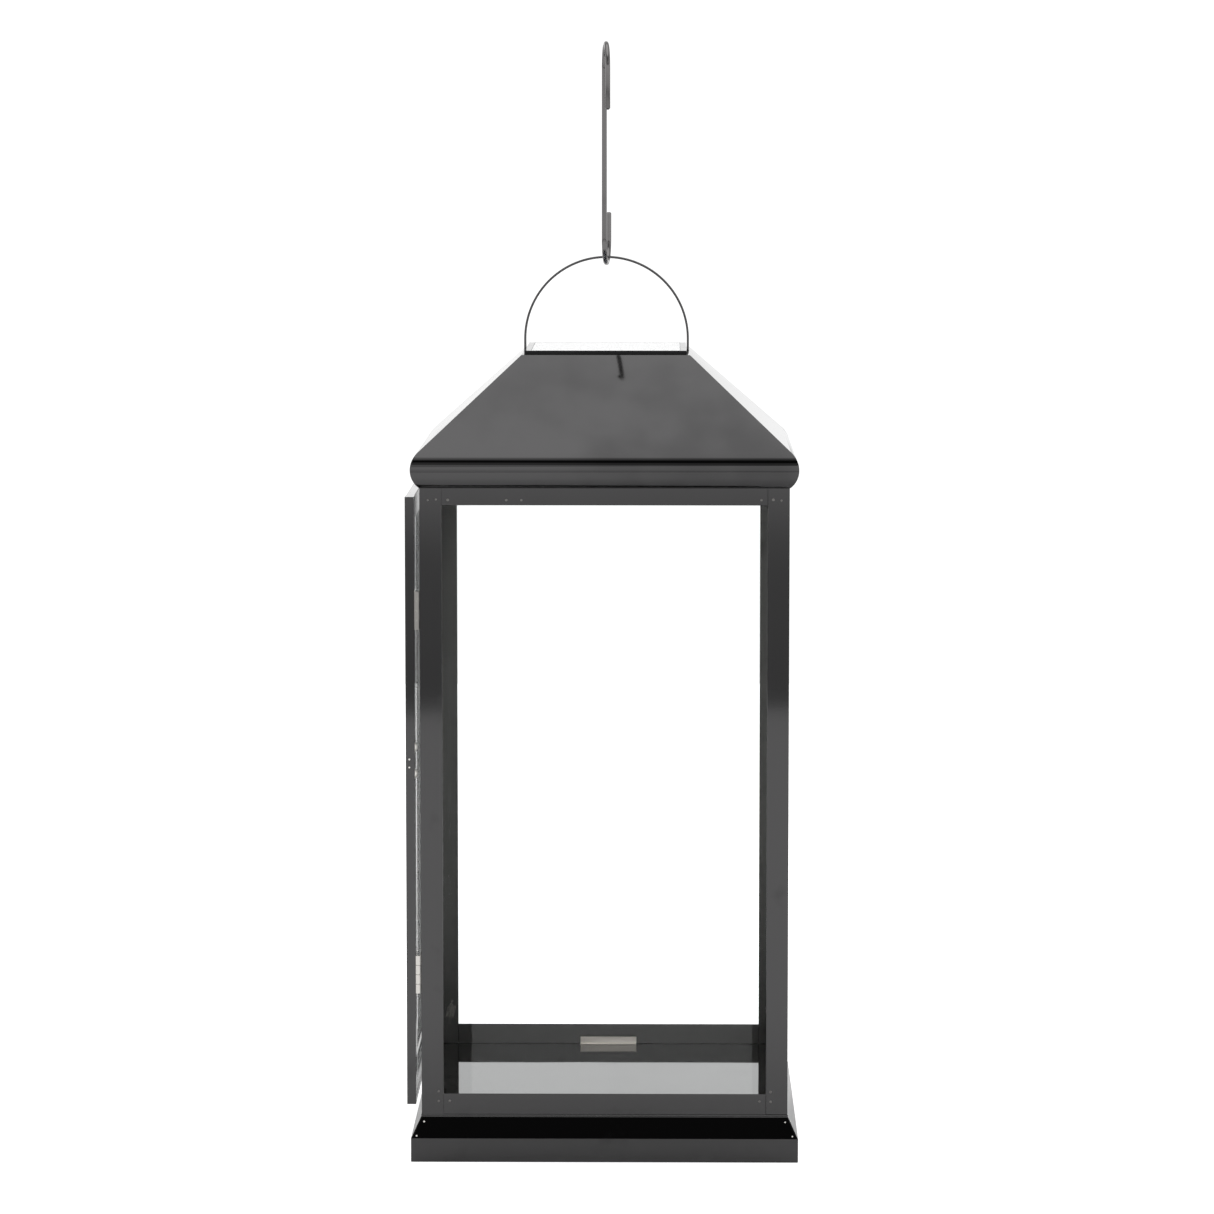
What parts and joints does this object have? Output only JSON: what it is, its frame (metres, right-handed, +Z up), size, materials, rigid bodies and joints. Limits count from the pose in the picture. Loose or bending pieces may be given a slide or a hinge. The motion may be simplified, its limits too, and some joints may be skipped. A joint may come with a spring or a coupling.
{
  "type": "square metal lantern with a solar lamp unit",
  "caption": "Square glazed lantern in polished dark metal, with a hinged glass door, a hipped roof, a strap handle, a hanging hook and a solar lamp unit under the flat top.",
  "frame": {"origin": "centre of the flat underside of the base", "axes": "+Z up, -Y towards the door opening, +X to the right when facing the opening"},
  "size_m": [0.2604, 0.2607, 0.7435],
  "materials": {
    "dark_nickel": "mirror-polished black nickel plate",
    "base_steel": "bare mill-finished sheet",
    "hook_steel": "drawn wire, lightly polished",
    "bright_nickel": "bright nickel plate",
    "clip_steel": "satin sheet",
    "glass": "clear float glass",
    "unit_plastic": "fine matte grain",
    "seal_rubber": "matte foam",
    "solar_cells": "glossy resin over dark blue cells",
    "lead_plastic": "smooth insulation",
    "board_green": "solder resist",
    "lens_plastic": "frosted",
    "cell_wrap": "shrink wrap",
    "switch_plastic": "smooth",
    "magnet": "matte"
  },
  "bodies": {
    "lantern": {"base_plate": "base_steel", "base_skirt": "dark_nickel", "floor_plate": "dark_nickel", "post_front_left": "dark_nickel", "post_front_right": "dark_nickel", "post_back_right": "dark_nickel", "post_back_left": "dark_nickel", "rail_low_front": "dark_nickel", "rail_low_right": "dark_nickel", "rail_low_back": "dark_nickel", "rail_low_left": "dark_nickel", "rail_top_front": "dark_nickel", "rail_top_right": "dark_nickel", "rail_top_back": "dark_nickel", "rail_top_left": "dark_nickel", "glass_right": "glass", "glass_back": "glass", "glass_left": "glass", "glass_clips_low": "clip_steel", "glass_clips_top": "clip_steel", "roof_ledge": "dark_nickel", "roof_shell": "dark_nickel", "handle_strap": "dark_nickel", "hinge_upper_post_leaf": "bright_nickel", "hinge_lower_post_leaf": "bright_nickel", "post_rivets": "bright_nickel", "hinge_upper_pin": "bright_nickel", "hinge_lower_pin": "bright_nickel", "catch_magnet": "magnet", "unit_seal": "seal_rubber", "unit_housing": "unit_plastic", "solar_panel": "solar_cells", "panel_leads": "lead_plastic", "circuit_board": "board_green", "led_lamp": "lens_plastic", "battery_cell": "cell_wrap", "battery_contacts": "bright_nickel", "unit_cover": "unit_plastic", "cover_screws": "bright_nickel", "battery_lid": "unit_plastic", "lid_screws": "bright_nickel", "lamp_lens": "lens_plastic", "switch_body": "switch_plastic"},
    "door": {"door_stile_hinge": "dark_nickel", "door_stile_free": "dark_nickel", "door_rail_top": "dark_nickel", "door_rail_low": "dark_nickel", "door_glass": "glass", "door_rivets": "bright_nickel", "door_stops": "bright_nickel", "door_pull": "dark_nickel", "hinge_upper_door_leaf": "bright_nickel", "hinge_lower_door_leaf": "bright_nickel"},
    "hook": {"hook": "hook_steel"},
    "switch": {"switch_slider": "switch_plastic"}
  },
  "joints": [
    {"name": "door_hinge", "type": "hinge", "parent": "lantern", "child": "door", "pos_m": [-0.1237, -0.13, 0], "axis": [0, 0, 1], "range_deg": [0, 270]},
    {"name": "hook_swing", "type": "hinge", "parent": "lantern", "child": "hook", "pos_m": [0, 0, 0.6109], "axis": [1, 0, 0], "range_deg": [-95, 95]},
    {"name": "switch_slide", "type": "slide", "parent": "lantern", "child": "switch", "axis": [1, 0, 0], "range_m": [0, 0.003]}
  ]
}
